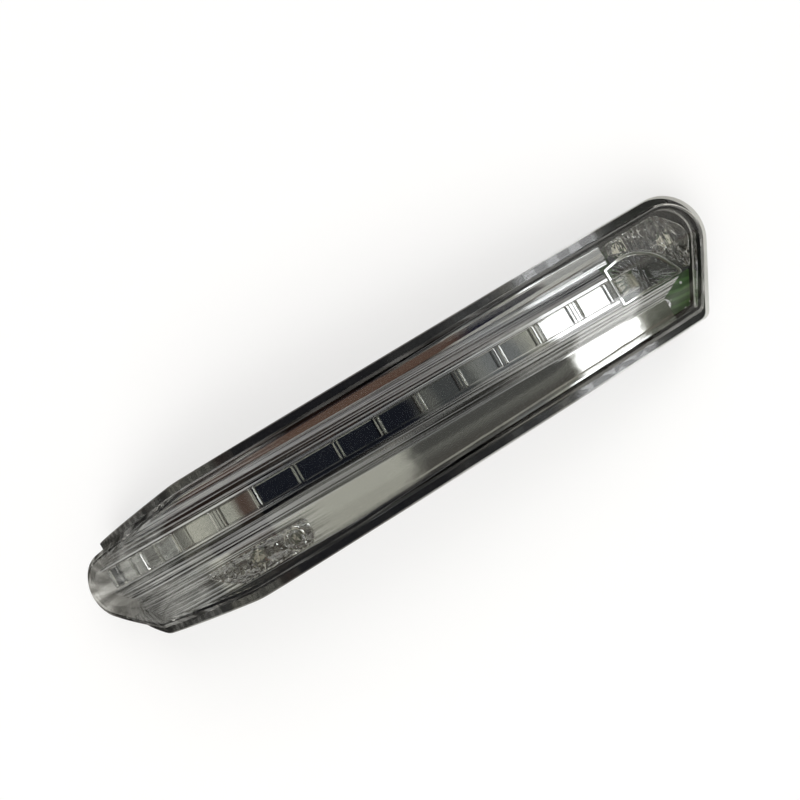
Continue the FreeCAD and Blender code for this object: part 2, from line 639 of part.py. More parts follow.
def light_guide():
    body = swept("guide_bar", (("guide_low", "channel_floor"), ("guide_high", "channel_floor"),
                               ("guide_high", "guide_front"), ("guide_low", "guide_front")),
                 {2: ("guide_y", "guide_front + guide_bulge")}, plan=None,
                 main="guide_end_angle", nose="guide_nose_angle")
    section = body.Group[0]
    for part, radius, axis, count, step in (
        ("main", "main_radius", "Axis0", "window_count + 1", "window_step"),
        ("nose", "nose_radius", "Axis1", "nose_window_count", "nose_window_step"),
    ):
        groove = new_sketch(body, "XZ_Plane", f"groove_{part}_section")
        first = "0" if part == "main" else "nose_window_step"
        top, low = f"({radius} + guide_front + 2)", f"({radius} + guide_front - groove_depth)"
        groove_points = []
        for reach, level in (("-groove_width / 2", top), ("groove_width / 2", top), ("groove_foot / 2", low),
                             ("-groove_foot / 2", low)):
            groove_points.append((f"({reach}) * cos({first}) - {level} * sin({first})",
                                  f"({reach}) * sin({first}) + {level} * cos({first}) - {radius}"))
        wire(groove, groove_points)
        doc.recompute()
        cut = through(body, groove, f"groove_{part}")
        doc.recompute()
        pattern = body.newObject("PartDesign::PolarPattern", f"grooves_{part}")
        pattern.Originals = [cut]
        pattern.Axis = (section, [axis])
        pattern.Reversed = part == "nose"
        bind(pattern, Angle=f"({count} - 1) * {step}", Occurrences=count)
        body.Tip = pattern
        doc.recompute()
    leg = block("guide_leg", "leg_length", "leg_width", "leg_height")
    on_board(leg, "leg_shift - leg_length / 2", "guide_y - leg_width / 2", "light_lift", placed=False)
    lobe = swept("end_lobe", slab("lobe_floor", "lobe_front"), plan=corner_names("lobe"), nose=None)
    dish = swept("lobe_dish", slab("lobe_front - lobe_recess", "lobe_front + 1"), plan=corner_names("lobe"),
                 inset="lobe_rim", nose=None)
    node(place(join("light_guide", [body, leg, cut_from("end_lobe_rimmed", lobe, dish)])))


def nose_coupler():
    solid = [swept("coupler_plate", slab("coupler_floor", "coupler_front"), plan=corner_names("coupler"),
                   inset="coupler_gap")]
    for name in STEMS:
        stem = round_bar(name + "_stem", "stem_diameter",
                         "board_drop - light_lift + (coupler_floor + coupler_front) / 2")
        solid.append(on_nose_board(stem, *spot(name), "light_lift", placed=False))
    pod = round_bar("coupler_pod", "pod_diameter", "pod_height - coupler_floor")
    solid.append(put(pod, *spot("led_1"), "coupler_floor"))
    dimple = doc.addObject("Part::Cone", "pod_dimple")
    bind(dimple, Radius1="0", Radius2="pod_diameter * 0.42", Height="pod_dimple_depth")
    put(dimple, *spot("led_1"), "pod_height - pod_dimple_depth")
    node(place(cut_from("nose_coupler", join("coupler_solid", solid), dimple)))


def end_coupler():
    body = new_body("end_coupler")
    plan = new_sketch(body, "XY_Plane", "fan_plan", "fan_lift")
    rounded(plan, corner_names("fan"))
    doc.recompute()
    pad = body.newObject("PartDesign::Pad", "fan_slab")
    pad.Profile = plan
    bind(pad, Length="fan_height")
    doc.recompute()
    ridge = new_sketch(body, "XZ_Plane", "fan_ridge_section")
    top = "(fan_lift + fan_height)"
    wire(ridge, (("fan_ridge_x", f"{top} - fan_ridge"), ("fan_ridge_x + 2 * fan_ridge", f"{top} + fan_ridge"),
                 ("fan_ridge_x - 2 * fan_ridge", f"{top} + fan_ridge")))
    doc.recompute()
    cut = through(body, ridge, "fan_ridge_cut")
    doc.recompute()
    pattern = body.newObject("PartDesign::LinearPattern", "fan_ridges_cut")
    pattern.Originals = [cut]
    pattern.Direction = (ridge, ["H_Axis"])
    bind(pattern, Length="(fan_ridges - 1) * fan_ridge_pitch", Occurrences="fan_ridges")
    body.Tip = pattern
    doc.recompute()
    legs = new_sketch(body, "XY_Plane", "fan_leg_plan", "light_lift")
    circles(legs, FAN_LEDS, "fan_leg / 2")
    down = body.newObject("PartDesign::Pad", "fan_legs")
    down.Profile = legs
    bind(down, Length="fan_lift - light_lift + fan_height / 2")
    doc.recompute()
    node(on_board(body, "0", "0", "0"))


def circles(sketch, names, radius):
    for name in names:
        x, y = spot(name)
        ring = sketch.addGeometry(Part.Circle(V(number(x), number(y), 0), V(0, 0, 1), number(radius)), False)
        pin(sketch, ring, 3, x, y)
        hold(sketch, "Radius", (ring,), radius)
    doc.recompute()


def drill(body, label, names, radius="(screw_diameter + screw_clearance) / 2"):
    holes = new_sketch(body, "XY_Plane", label + "_plan")
    circles(holes, names, radius)
    through(body, holes, label)
    doc.recompute()


def plate(label, corners, lift, height):
    body = new_body(label)
    plan = new_sketch(body, "XY_Plane", label + "_outline", lift)
    rounded(plan, corners)
    doc.recompute()
    pad = body.newObject("PartDesign::Pad", label + "_slab")
    pad.Profile = plan
    bind(pad, Length=height)
    doc.recompute()
    return body


def light_shield():
    lift = "board_thickness + shield_height"
    body = plate("light_shield", corner_names("shield"), lift, "shield_wall")
    drill(body, "shield_holes", FAN_LEDS, "fan_leg / 2 + coupler_gap")
    feet = new_sketch(body, "XY_Plane", "shield_feet_plan", "board_thickness")
    circles(feet, SHIELD_FEET, "shield_foot / 2")
    down = body.newObject("PartDesign::Pad", "shield_feet")
    down.Profile = feet
    bind(down, Length="shield_height + shield_wall / 2")
    doc.recompute()
    node(on_board(body, "0", "0", "0"))


def main_board():
    body = plate("main_board", (
        ("-board_left", "-board_low", "board_round"), ("board_low_right", "-board_low", "board_round"),
        ("board_right", "board_slant_y", "board_round"), ("board_right", "board_high", "board_round"),
        ("-board_left", "board_high", "board_round")), "0", "board_thickness")
    drill(body, "board_holes", [name for name, held in BOARD_POSTS if held])
    node(on_board(body, "0", "0", "0"))


def nose_board():
    left, right, low, high = "nose_board_left", "nose_board_right", "nose_board_low", "nose_board_high"
    body = plate("nose_board", tuple((x, y, "board_round") for x, y in (
        (left, low), (right, low), (right, high), (left, high))), "0", "board_thickness")
    drill(body, "nose_board_holes", [name for name, held in NOSE_POSTS if held])
    node(on_nose_board(body, "0", "0", "0"))


def primitive(body, kind, label, x="0", y="0", z="0"):
    """A PartDesign primitive on the body's base plane."""
    item = body.newObject("PartDesign::" + kind, label)
    item.AttachmentSupport = (next(f for f in body.Origin.OriginFeatures if f.Role == "XY_Plane"), "")
    item.MapMode = "FlatFace"
    return bind(item, AttachmentOffset__Base__x=x, AttachmentOffset__Base__y=y, AttachmentOffset__Base__z=z)


def centred_box(body, kind, label, length, width, height, z="0"):
    box = primitive(body, kind, label, f"-({length}) / 2", f"-({width}) / 2", z)
    bind(box, Length=length, Width=width, Height=height)
    doc.recompute()
    return box


def leds():
    for label, lay, (x, y) in (
        ("led_1", on_nose_board, spot("led_1")), ("led_2", on_nose_board, spot("led_2")),
        ("led_3", on_board, ("leg_shift", "guide_y")),
        ("led_4", on_board, spot("led_4")), ("led_5", on_board, spot("led_5")),
    ):
        body = new_body(label)
        centred_box(body, "AdditiveBox", label + "_case", "led_length", "led_width", "led_height")
        dish = primitive(body, "SubtractiveCylinder", label + "_dish", z="led_height - led_dish_depth")
        bind(dish, Radius="led_dish / 2", Height="led_dish_depth + 1")
        doc.recompute()
        node(lay(body, x, y, "board_thickness"))


def chips():
    for label, lay in (
        ("resistor_1", on_board), ("resistor_2", on_board), ("resistor_3", on_board),
        ("resistor_4", on_nose_board), ("capacitor_1", on_board), ("capacitor_2", on_nose_board),
        ("diode", on_board),
    ):
        kind = label.split("_")[0]
        body = new_body(label)
        case = centred_box(body, "AdditiveBox", label + "_case",
                           f"{kind}_length", f"{kind}_width", f"{kind}_height")
        top = case.Shape.BoundBox.ZMax
        bevel(body, label + "_bevel", "case_bevel", lambda spots: all(spot.z > 0.9 * top for spot in spots))
        node(lay(body, *spot(label), "board_thickness"))


def driver_chip():
    body = new_body("driver_chip")
    centred_box(body, "AdditiveBox", "driver_case", "chip_length", "chip_width",
                "chip_height - chip_stand", "chip_stand")
    side, high, thick = "chip_width / 2", "(chip_height / 2)", "lead_thickness"
    wing = ((f"{side} - {thick}", high), (f"{side} - {thick}", f"{high} - {thick}"),
            (f"{side} + {thick}", f"{high} - {thick}"), (f"{side} + 2 * {thick}", "0"),
            (f"{side} + lead_reach", "0"), (f"{side} + lead_reach", thick),
            (f"{side} + 3 * {thick}", thick), (f"{side} + 2 * {thick}", high))
    for name, sign in (("near", ""), ("far", "-")):
        section = new_sketch(body, "YZ_Plane", f"{name}_lead_section", "-(lead_count - 1) / 2 * lead_pitch")
        wire(section, tuple((f"{sign}({y})", z) for y, z in wing))
        doc.recompute()
        lead = body.newObject("PartDesign::Pad", f"{name}_lead")
        lead.Profile = section
        lead.SideType = "Symmetric"
        bind(lead, Length="lead_width")
        doc.recompute()
        row = body.newObject("PartDesign::LinearPattern", f"{name}_lead_row")
        row.Originals = [lead]
        row.Direction = (section, ["N_Axis"])
        bind(row, Length="(lead_count - 1) * lead_pitch", Occurrences="lead_count")
        body.Tip = row
        doc.recompute()
    node(on_board(body, *spot("driver_chip"), "board_thickness"))


def terminals():
    for i in range(3):
        body = new_body(f"terminal_{i + 1}")
        side = new_sketch(body, "XZ_Plane", f"terminal_side_{i + 1}")
        tip = "(-socket_ceiling - pin_reach)"
        wire(side, (("pin_left + pin_taper", tip), ("pin_right - pin_taper", tip),
                    ("pin_right", f"{tip} + 4 * pin_taper"), ("pin_right", "pin_right_top"),
                    ("pin_left", "pin_left_top"), ("pin_left", f"{tip} + 4 * pin_taper")))
        doc.recompute()
        pad = body.newObject("PartDesign::Pad", f"terminal_blade_{i + 1}")
        pad.Profile = side
        pad.SideType = "Symmetric"
        bind(pad, Length="pin_width")
        doc.recompute()
        node(put(body, "joint_x", f"{i - 1} * pin_pitch", "rest_depth"))


def flex_link():
    low, high = "flex_y - flex_width / 2", "flex_y + flex_width / 2"
    strip = swept("flex_link", ((low, "-board_drop - flex_thickness"), (high, "-board_drop - flex_thickness"),
                                (high, "-board_drop"), (low, "-board_drop")),
                  plan=None, main="asin(flex_end / board_radius)", nose=None)
    node(place(strip))


def screws():
    held = [(on_board, name) for name, screwed in BOARD_POSTS if screwed]
    held += [(on_nose_board, name) for name, screwed in NOSE_POSTS if screwed]
    for i, (lay, name) in enumerate(held, start=1):
        body = new_body(f"board_screw_{i}")
        half = new_sketch(body, "XZ_Plane", f"screw_half_{i}")
        shank, head, top = "screw_diameter / 2", "screw_head / 2", "screw_head_height"
        wire(half, (("0", "-screw_length"), (shank, "-screw_length"), (shank, "0"), (head, "0"),
                    (head, f"{top} / 2"), (f"{head} - {top} / 3", top), ("0", top)))
        doc.recompute()
        turned = body.newObject("PartDesign::Revolution", f"screw_turned_{i}")
        turned.Profile = half
        turned.ReferenceAxis = (half, ["V_Axis"])
        turned.Angle = 360
        doc.recompute()
        for across, long, short in (
            ("length", "recess_length", "screw_recess"), ("width", "screw_recess", "recess_length"),
        ):
            centred_box(body, "SubtractiveBox", f"screw_recess_{across}_{i}", long, short, top,
                        f"{top} - screw_recess")
        node(lay(body, *spot(name), "board_thickness"))


def vent_membrane():
    body = new_body("vent_membrane")
    disc = primitive(body, "AdditiveCylinder", "membrane_disc")
    bind(disc, Radius="membrane_diameter / 2", Height="membrane_thickness")
    doc.recompute()
    node(station(body, "vent_angle", "back_radius - vent_pad_height - membrane_thickness", centre="1"))


def main():
    fill_sheet()
    outer_lens()
    rear_housing()
    chrome_reflector()
    light_guide()
    nose_coupler()
    end_coupler()
    main_board()
    nose_board()
    light_shield()
    leds()
    driver_chip()
    chips()
    terminals()
    flex_link()
    screws()
    vent_membrane()
    doc.removeObject("Probe")
    doc.recompute()
    os.makedirs("parts", exist_ok=True)
    for item in doc.Objects:
        if "Invalid" in item.State or "Error" in item.State:
            raise RuntimeError(f"{item.Name}: {item.State}")
    for item in NODES:
        shape = item.Shape
        if shape.isNull() or not shape.isValid():
            raise RuntimeError(f"{item.Label} has no valid shape")
        print(item.Label, len(shape.Solids), round(shape.Volume, 1), shape.BoundBox)
        shape.exportStep(f"parts/{item.Label}.step")


main()
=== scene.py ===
"""Dresses the mirror turn signal lamp: lens, barred light guide, chrome bezel, housing, boards and studio."""

import math

import bpy
import numpy as np
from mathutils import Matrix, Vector


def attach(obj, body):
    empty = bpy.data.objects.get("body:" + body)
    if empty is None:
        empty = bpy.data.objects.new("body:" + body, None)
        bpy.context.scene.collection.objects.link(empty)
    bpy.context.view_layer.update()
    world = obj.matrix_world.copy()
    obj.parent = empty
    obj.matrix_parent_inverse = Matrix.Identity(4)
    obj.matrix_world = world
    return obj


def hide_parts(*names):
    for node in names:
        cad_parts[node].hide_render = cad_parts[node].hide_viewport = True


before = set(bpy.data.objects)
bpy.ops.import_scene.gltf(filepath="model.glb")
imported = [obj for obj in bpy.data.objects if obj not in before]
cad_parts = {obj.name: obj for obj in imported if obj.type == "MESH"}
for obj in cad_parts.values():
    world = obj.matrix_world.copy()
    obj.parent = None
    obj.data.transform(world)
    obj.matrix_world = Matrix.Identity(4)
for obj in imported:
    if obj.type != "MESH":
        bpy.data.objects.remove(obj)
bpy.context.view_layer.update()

bl_info = {
    "name": "Mirror turn signal lamp",
    "version": (1, 0),
    "blender": (4, 5, 0),
    "location": "View3D > Sidebar > Lamp",
    "description": "Dresses a door-mirror turn signal lamp and sets up its studio",
    "category": "Object",
}

MM = 0.001
SHARP_EDGE = math.radians(28.0)


def size(value, words, unit="millimetres"):
    """A number that the panel shows, with its unit in the description."""
    return bpy.props.FloatProperty(name=words, description=f"{words}, in {unit}", default=value)


def colour(value, words):
    """A colour that the panel shows."""
    return bpy.props.FloatVectorProperty(name=words, description=f"{words}, in linear light", default=value,
                                         size=3, subtype="COLOR", min=0.0, max=1.0)


class LampSizes(bpy.types.PropertyGroup):
    """The sizes of the flange line, of the guide with its leg and lobe, and of the plating's bands."""

    joint_x: size(-43.33, "Joint of both arcs, along X")
    crest_z: size(42.99, "Height of the flange line at the joint")
    main_radius: size(360.0, "Radius along the mirror")
    nose_radius: size(48.0, "Radius round the nose")
    guide_y: size(3.4, "Middle of the guide across")
    guide_width: size(5.5, "Guide width")
    guide_floor: size(1.55, "Guide underside over the flange line")
    guide_front: size(6.5, "Guide front over the flange line")
    guide_bulge: size(0.04, "Crown across the guide front")
    pillow: size(0.02, "Crown of each window")
    guide_nose_angle: size(60.0, "Guide reach round the nose", "degrees")
    guide_end: size(117.0, "Guide end from the joint")
    window_pitch: size(12.5, "Window pitch along the front")
    groove_width: size(1.5, "Groove width at the front")
    groove_foot: size(0.7, "Groove width at its foot")
    groove_depth: size(0.9, "Groove depth")
    edge_round: size(0.35, "Round along the guide front")
    edge_mirror: size(0.9, "How strongly an edge mirrors", "shares of one")
    lobe_floor: size(2.6, "Lobe underside over the flange line")
    lobe_front: size(5.4, "Lobe rim over the flange line")
    lobe_rim: size(1.0, "Lobe rim width")
    lobe_edge: size(0.2, "Bevel along the lobe rim")
    lobe_recess: size(1.2, "Lobe recess depth")
    lobe_flutes: size(26.0, "Flutes round the lobe", "whole flutes")
    lobe_flute_depth: size(0.22, "Flute depth")
    board_x: size(113.0, "Middle of the main board from the joint")
    board_radius: size(352.5, "Radius to the main board's underside")
    leg_x: size(-2.71, "Middle of the guide leg along the board")
    leg_length: size(4.4, "Guide leg length")
    leg_width: size(4.8, "Guide leg width")
    leg_low: size(2.7, "Guide leg foot over the board's underside")
    leg_high: size(9.6, "Guide leg top over the board's underside")
    mask_high: size(15.2, "Upper edge of the plating, along Y")
    mask_low: size(-15.0, "Lower edge of the plating, along Y")
    mask_soft: size(0.15, "Soft edge of the plating")
    flank_low: size(-5.7, "Lower edge of the lined flank, along Y")
    flank_high: size(-0.2, "Upper edge of the lined flank, along Y")
    slot_low: size(6.2, "Lower edge of the lined slot, along Y")
    slot_high: size(11.8, "Upper edge of the lined slot, along Y")
    rail_low: size(-0.6, "Lower edge of the rail beside the guide, along Y")
    rail_high: size(0.7, "Upper edge of the rail beside the guide, along Y")
    bed_low: size(0.6, "Lower edge of the guide's smooth bed, along Y")
    lined_from: size(-46.0, "Where the plating is lined across its whole width, along X")
    lined_to: size(-28.0, "Where that lining has faded out, along X")


class LampColours(bpy.types.PropertyGroup):
    """Base colours, in linear light."""

    clear: colour((0.90, 0.905, 0.90), "Clear plastic")
    chrome: colour((0.60, 0.605, 0.61), "Chrome")
    black: colour((0.012, 0.012, 0.013), "Black housing")
    mask: colour((0.030, 0.070, 0.020), "Board mask")
    track: colour((0.055, 0.125, 0.035), "Board track")
    tin: colour((0.62, 0.62, 0.60), "Tinned pad")
    room: colour((0.64, 0.63, 0.54), "Studio walls")


class LampStudio(bpy.types.PropertyGroup):
    """The floor, the cards, the two soft lamps and the camera."""

    floor_half: size(3000.0, "Half the floor's side")
    cards_half_x: size(220.0, "Half the box of cards, along X")
    cards_half_y: size(170.0, "Half the box of cards, along Y")
    cards_low: size(0.1, "Bottom of the box of cards")
    cards_high: size(110.0, "Top of the box of cards")
    lamp_side: size(1200.0, "Side of each lamp")
    key_power: size(17.0, "Power of the key lamp", "watts")
    fill_power: size(11.0, "Power of the fill lamp", "watts")
    camera_x: size(2.14, "Camera along X")
    camera_y: size(6.7, "Camera along Y")
    camera_z: size(593.0, "Camera height")
    camera_turn: size(-30.0, "Camera turn about Z", "degrees")
    camera_lens: size(93.3, "Camera lens")


def sizes():
    return bpy.context.scene.lamp_sizes


def colours():
    return bpy.context.scene.lamp_colours


def along_flange(run):
    """Points and outward normals of the flange line, as (x, z) arrays, at arc lengths from the joint.

    Lengths towards the nose are negative.
    A point lies on a circle of the main radius, or of the nose radius before the joint, both tangent there.
    """
    s = sizes()
    radius = np.where(run >= 0, s.main_radius, s.nose_radius)
    angle = run / radius
    normal = np.stack([np.sin(angle), np.cos(angle)], axis=-1)
    spot = normal * radius[..., None] - np.stack([np.zeros_like(radius), radius], axis=-1)
    return spot + np.array([s.joint_x, s.crest_z]), normal


def mark_edges(thing, amount):
    """Stores how strongly each point belongs to an edge that mirrors from within."""
    layer = thing.data.attributes.new("edge", "FLOAT", "POINT")
    layer.data.foreach_set("value", np.ascontiguousarray(amount, dtype=np.float32).ravel())


def make_mesh(name, points, faces):
    """An object from points in millimetres, smooth but for its sharp edges."""
    mesh = bpy.data.meshes.new(name)
    mesh.from_pydata((np.asarray(points) * MM).tolist(), [], faces)
    mesh.validate()
    mesh.shade_smooth()
    mesh.set_sharp_from_angle(angle=SHARP_EDGE)
    thing = bpy.data.objects.new(name, mesh)
    bpy.context.scene.collection.objects.link(thing)
    return thing


def tube(name, rings):
    """A closed skin over rings of equal point count, its two ends capped."""
    count, around, _ = rings.shape
    at = np.arange(count * around).reshape(count, around)
    a, b = at[:-1], np.roll(at, -1, axis=1)[:-1]
    c, d = np.roll(at, -1, axis=1)[1:], at[1:]
    quads = np.stack([a, b, c, d], axis=-1).reshape(-1, 4).tolist()
    caps = [at[0, ::-1].tolist(), at[-1].tolist()]
    return make_mesh(name, rings.reshape(-1, 3), quads + caps)


def piece(thing, slot, finish, *replaced):
    """Gives a new piece its material and its place on the part. The slot is not used."""
    thing.data.materials.append(finish)
    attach(thing, "root")
    if replaced:
        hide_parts(*replaced)


class Tree:
    """The node tree of a material or a world, built by short calls."""

    def __init__(self, owner):
        owner.use_nodes = True
        self.tree = owner.node_tree

    def add(self, kind, **settings):
        item = self.tree.nodes.new(kind)
        for key, value in settings.items():
            setattr(item, key, value)
        return item

    def link(self, source, target):
        self.tree.links.new(source, target)

    def feed(self, socket, value):
        """Links a node's output into a socket, or gives the socket a plain value."""
        if isinstance(value, bpy.types.NodeSocket):
            self.link(value, socket)
        else:
            socket.default_value = value

    def fill(self, item, **values):
        for key, value in values.items():
            self.feed(item.inputs[key.replace("_", " ")], value)
        return item

    def spread(self, source, low, high, to_low=0.0, to_high=1.0, way="LINEAR"):
        """A value carried from one range to another, and held at the ends."""
        item = self.add("ShaderNodeMapRange", interpolation_type=way)
        self.fill(item, Value=source, From_Min=low, From_Max=high, To_Min=to_low, To_Max=to_high)
        return item.outputs["Result"]

    def math_of(self, operation, *values):
        item = self.add("ShaderNodeMath", operation=operation)
        for socket, value in zip(item.inputs, values):
            self.feed(socket, value)
        return item.outputs[0]

    def times(self, first, second):
        return self.math_of("MULTIPLY", first, second)

    def plus(self, first, second):
        return self.math_of("ADD", first, second)

    def rest_of(self, value):
        """What a share leaves of one."""
        return self.math_of("SUBTRACT", 1.0, value)

    def mixed(self, share, first, second):
        """The first colour, with a share of the second over it."""
        item = self.add("ShaderNodeMix", data_type="RGBA")
        for place, value in ((0, share), (6, first), (7, second)):
            self.feed(item.inputs[place], (*value, 1.0) if isinstance(value, tuple) else value)
        return item.outputs[2]


class Finish(Tree):
    """A material on Object coordinates."""

    def __init__(self, name):
        self.material = bpy.data.materials.new(name)
        super().__init__(self.material)
        self.shader = self.tree.nodes["Principled BSDF"]
        self.out = self.tree.nodes["Material Output"]
        self.place = self.add("ShaderNodeTexCoord").outputs["Object"]

    def base(self, **values):
        return self.fill(self.shader, **values)

    def place_along(self, axis):
        return self.fill(self.add("ShaderNodeSeparateXYZ"), Vector=self.place).outputs[axis]

    def noise(self, scale, detail=3.0, stretch=None):
        """Noise of a scale per metre; stretch scales its place along each axis first."""
        place = self.place
        if stretch:
            place = self.fill(self.add("ShaderNodeMapping"), Vector=place, Scale=stretch).outputs[0]
        item = self.add("ShaderNodeTexNoise")
        return self.fill(item, Vector=place, Scale=scale, Detail=detail).outputs["Fac"]

    def streaks(self, scale, along):
        """Noise drawn out along X: fine across, long down the lamp."""
        return self.noise(scale, 2.0, (along / scale, 1.0, 0.0))

    def cells(self, scale, feature="F1"):
        item = self.add("ShaderNodeTexVoronoi", feature=feature)
        return self.fill(item, Vector=self.place, Scale=scale).outputs["Distance"]

    def ramp(self, source, *stops):
        """A colour ramp over stops, each a position with a grey or a colour."""
        item = self.add("ShaderNodeValToRGB")
        marks = item.color_ramp.elements
        while len(marks) < len(stops):
            marks.new(0.5)
        for mark, (spot, shade) in zip(marks, stops):
            mark.position = spot
            mark.color = (*shade, 1.0) if isinstance(shade, tuple) else (shade, shade, shade, 1.0)
        self.link(source, item.inputs["Fac"])
        return item.outputs["Color"]

    def bump(self, height, strength, depth):
        item = self.add("ShaderNodeBump")
        self.fill(item, Height=height, Strength=strength, Distance=depth)
        self.link(item.outputs["Normal"], self.shader.inputs["Normal"])

    def blend(self, share, second):
        """Shows a share of a second shader over the first."""
        item = self.add("ShaderNodeMixShader")
        for socket, source in zip(item.inputs, (share, self.shader.outputs[0], second.outputs[0])):
            self.link(source, socket)
        self.link(item.outputs[0], self.out.inputs["Surface"])

    def let_lamps_through(self):
        """Shadow rays pass, so that what lies behind the clear wall is lit."""
        rays = self.add("ShaderNodeLightPath")
        self.blend(rays.outputs["Is Shadow Ray"], self.add("ShaderNodeBsdfTransparent"))


def clear_plastic(name, grain=0.0, cell=0.0, edges=False, bevels=0.0, facets=0.0):
    """Clear moulded plastic; grain is the depth of its optic texture in metres, cell its count per metre.

    Its edges mirror from within: the marked ones of a piece made here, or all within a reach in metres.
    So do the seams between facets of a given count per metre, where a slow noise lets them show.
    """
    n = Finish(name)
    n.base(Base_Color=(*colours().clear, 1.0), Transmission_Weight=1.0, IOR=1.49, Roughness=0.012)
    if edges:
        n.base(Metallic=n.add("ShaderNodeAttribute", attribute_name="edge").outputs["Fac"])
    if bevels:
        turned = n.add("ShaderNodeVectorMath", operation="DOT_PRODUCT")
        rounded = n.fill(n.add("ShaderNodeBevel", samples=4), Radius=bevels)
        n.link(rounded.outputs["Normal"], turned.inputs[0])
        n.link(n.add("ShaderNodeNewGeometry").outputs["Normal"], turned.inputs[1])
        mirrored = n.spread(turned.outputs["Value"], 0.8, 0.98, sizes().edge_mirror, 0.0)
        if facets:
            seams = n.spread(n.cells(facets, "DISTANCE_TO_EDGE"), 0.03, 0.09, 1.0, 0.0)
            shown = n.spread(n.noise(facets / 4.0, 1.0), 0.5, 0.6, 0.0, sizes().edge_mirror)
            mirrored = n.math_of("MAXIMUM", mirrored, n.times(seams, shown))
        n.base(Metallic=mirrored)
    if grain:
        n.bump(n.cells(cell), 1.0, grain)
    else:
        n.bump(n.noise(90.0), 0.05, 0.0002)
    n.let_lamps_through()
    return n.material


def chrome(name):
    """Metallised plastic with a faint orange peel; the strips beyond both bands are masked and stay black.

    Fine lengthwise lines run down the flank, in the slot, on the rail and over the whole nose but the guide's
    bed: ribs in the bump, and painted reflection streaks, dark and light, in the colour and the metal.
    """
    n = Finish(name)
    s = sizes()
    across = n.place_along("Y")

    def rise(low, soft):
        """0 below a place in millimetres, then up to 1 over a soft width."""
        return n.spread(across, low * MM, (low + soft) * MM)

    def fall(high, soft):
        """1 up to a soft width before a place in millimetres, then down to 0 there."""
        return n.spread(across, (high - soft) * MM, high * MM, 1.0, 0.0)

    plated = n.times(fall(s.mask_high + s.mask_soft, s.mask_soft), rise(s.mask_low, s.mask_soft))
    n.base(Roughness=n.spread(n.noise(320.0, 4.0), 0.3, 0.7, 0.02, 0.06))
    flank = n.times(rise(s.flank_low, 0.5), fall(s.flank_high, 0.4))
    slot = n.times(rise(s.slot_low, 0.4), fall(s.slot_high, 0.4))
    rail = n.times(rise(s.rail_low, 0.4), fall(s.rail_high, 0.1))
    bed = n.times(rise(s.bed_low, 0.2), fall(s.slot_low, 0.2))
    round_nose = n.spread(n.place_along("X"), s.lined_from * MM, s.lined_to * MM, 1.0, 0.0)
    nose = n.times(round_nose, n.rest_of(bed))
    wide = n.plus(flank, nose)
    threads = n.streaks(2000.0, 12.0)
    # painted highlight: lines where the metal is taken out show pale under the lamps, in place of bright
    # reflection streaks
    painted_light_lines = n.times(n.spread(threads, 0.42, 0.60, 0.0, 0.65), n.plus(slot, n.times(wide, 0.5)))
    n.base(Metallic=n.times(plated, n.rest_of(painted_light_lines)))
    share = n.plus(n.times(n.plus(slot, rail), 0.6), n.times(wide, 0.6))
    # painted reflection: dark and light lengthwise streaks darken and lighten the base colour
    painted_streak_shade = n.times(n.spread(threads, 0.35, 0.65, 1.3, -0.6), share)
    shade = n.times(plated, n.rest_of(painted_streak_shade))
    n.base(Base_Color=n.ramp(shade, (0.0, colours().black[:]), (1.0, colours().chrome[:])))
    lined = n.math_of("MAXIMUM", n.plus(flank, slot), nose)
    lines = n.times(n.times(threads, n.spread(slot, 0.0, 1.0, 1.0, 0.35)), lined)
    n.bump(n.plus(n.times(lines, 0.9), n.times(n.noise(110.0, 2.0), 0.3)), 0.5, 0.00025)
    return n.material


def black_plastic(name):
    """Black moulded plastic with a fine grain."""
    n = Finish(name)
    grain = n.noise(2600.0, 2.0)
    n.base(Base_Color=n.ramp(n.noise(160.0), (0.3, (0.006, 0.006, 0.007)), (0.8, colours().black[:])),
           Roughness=n.spread(grain, 0.3, 0.7, 0.12, 0.22))
    n.bump(grain, 0.15, 0.00003)
    return n.material


def board(name):
    """Green solder mask over tracks, with tinned pads."""
    n = Finish(name)
    bands = n.add("ShaderNodeTexWave", wave_type="BANDS", bands_direction="Y")
    n.fill(bands, Vector=n.place, Scale=150.0, Distortion=6.0, Detail=1.0, Detail_Scale=0.6)
    track = n.ramp(bands.outputs["Fac"], (0.62, colours().mask[:]), (0.68, colours().track[:]))
    pads = n.ramp(n.cells(330.0), (0.14, 1.0), (0.17, 0.0))
    n.base(Base_Color=n.mixed(pads, track, colours().tin[:]), Roughness=0.28)
    n.bump(bands.outputs["Fac"], 0.25, 0.00004)
    return n.material


def cased(name, low, high, roughness, metallic=0.0, scale=900.0):
    """A part with a mottled colour between two shades and a fine skin."""
    n = Finish(name)
    mottle = n.noise(scale, 4.0)
    n.base(Base_Color=n.ramp(mottle, (0.3, low), (0.7, high)), Metallic=metallic,
           Roughness=n.spread(mottle, 0.3, 0.7, roughness * 0.8, roughness * 1.2))
    n.bump(mottle, 0.2, 0.00005)
    return n.material


